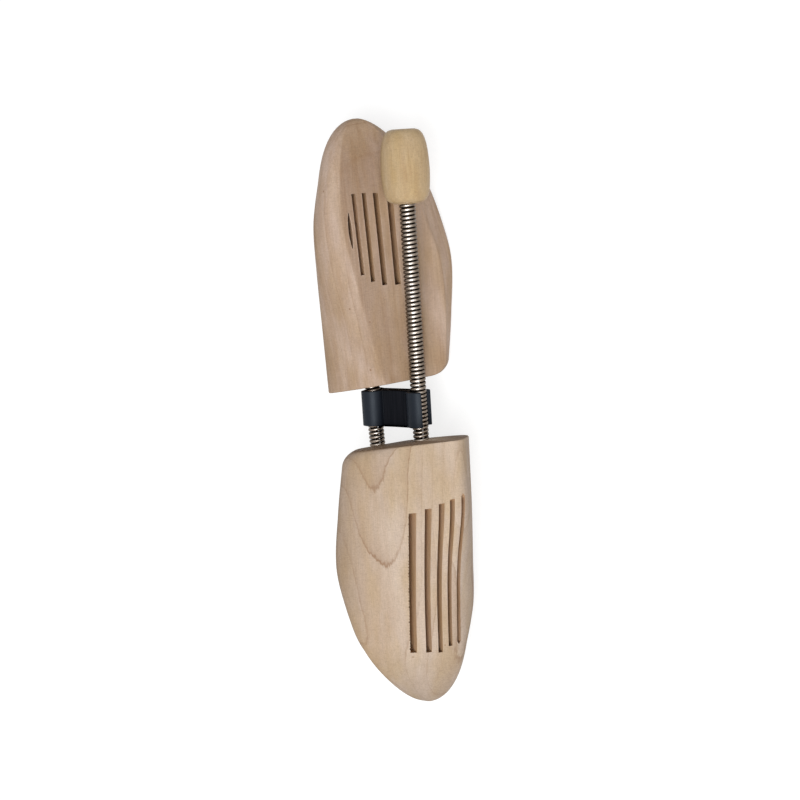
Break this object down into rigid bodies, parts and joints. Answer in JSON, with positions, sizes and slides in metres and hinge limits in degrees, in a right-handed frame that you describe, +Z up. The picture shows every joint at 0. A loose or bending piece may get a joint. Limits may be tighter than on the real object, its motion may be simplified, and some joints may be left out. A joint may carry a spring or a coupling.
{
  "type": "shoe tree pair",
  "caption": "Pair of shoe trees, each a slotted wooden forefoot block and a turned heel knob on a bending coil spring, held head to tail by a plastic double clip.",
  "frame": {"origin": "centre of the bounding box at the table the pair lies on", "axes": "+Y from the toe of the right tree towards its heel knob, close to both springs' direction; +Z up, as the pair rests on a table"},
  "size_m": [0.0858, 0.2812, 0.0522],
  "materials": {
    "block": "smooth sanded pale beech, unvarnished",
    "knob": "thin yellowish satin varnish",
    "spring": "bright drawn spring wire",
    "clip": "black, slightly glossy moulded plastic"
  },
  "bodies": {
    "left_tree_block": {"forefoot_block_b": "block"},
    "left_tree_spring": {"coil_spring_b": "spring"},
    "left_tree_knob": {"heel_knob_b": "knob"},
    "clip": {"double_clip": "clip"},
    "right_tree_block": {"forefoot_block_a": "block"},
    "right_tree_spring": {"coil_spring_a": "spring"},
    "right_tree_knob": {"heel_knob_a": "knob"}
  },
  "joints": [
    {"name": "clip_off_left_tree", "type": "slide", "parent": "left_tree_block", "child": "clip", "axis": [0.9983, -0.0053, 0.0584], "range_m": [0, 0.06], "deforming": ["double_clip"]},
    {"name": "right_tree_off_clip", "type": "slide", "parent": "clip", "child": "right_tree_block", "axis": [0.9983, -0.0053, 0.0584], "range_m": [0, 0.06], "deforming": ["double_clip"]},
    {"name": "left_spring_near_bend", "type": "hinge", "parent": "left_tree_block", "child": "left_tree_spring", "pos_m": [-0.01138, -0.02913, 0.02131], "axis": [0.7697, 0.0893, -0.6321], "range_deg": [0, 40], "stiffness_Nm_per_rad": 0.45, "springref_deg": -34.38, "deforming": ["coil_spring_b"]},
    {"name": "left_spring_far_bend", "type": "hinge", "parent": "left_tree_spring", "child": "left_tree_knob", "pos_m": [-0.01024, -0.07578, 0.01611], "axis": [0.7697, 0.0893, -0.6321], "range_deg": [0, 40], "stiffness_Nm_per_rad": 0.45, "springref_deg": -34.38, "deforming": ["coil_spring_b"]},
    {"name": "right_spring_near_bend", "type": "hinge", "parent": "right_tree_block", "child": "right_tree_spring", "pos_m": [0.01281, 0.03323, 0.02913], "axis": [0.7701, 0.058, -0.6353], "range_deg": [0, 40], "stiffness_Nm_per_rad": 0.45, "springref_deg": -34.38, "deforming": ["coil_spring_a"]},
    {"name": "right_spring_far_bend", "type": "hinge", "parent": "right_tree_spring", "child": "right_tree_knob", "pos_m": [0.01281, 0.07734, 0.03316], "axis": [0.7701, 0.058, -0.6353], "range_deg": [0, 40], "stiffness_Nm_per_rad": 0.45, "springref_deg": -34.38, "deforming": ["coil_spring_a"]}
  ],
  "couplings": [
    {"joint": "left_spring_far_bend", "follows": "left_spring_near_bend", "ratio": 1},
    {"joint": "right_spring_far_bend", "follows": "right_spring_near_bend", "ratio": 1}
  ]
}
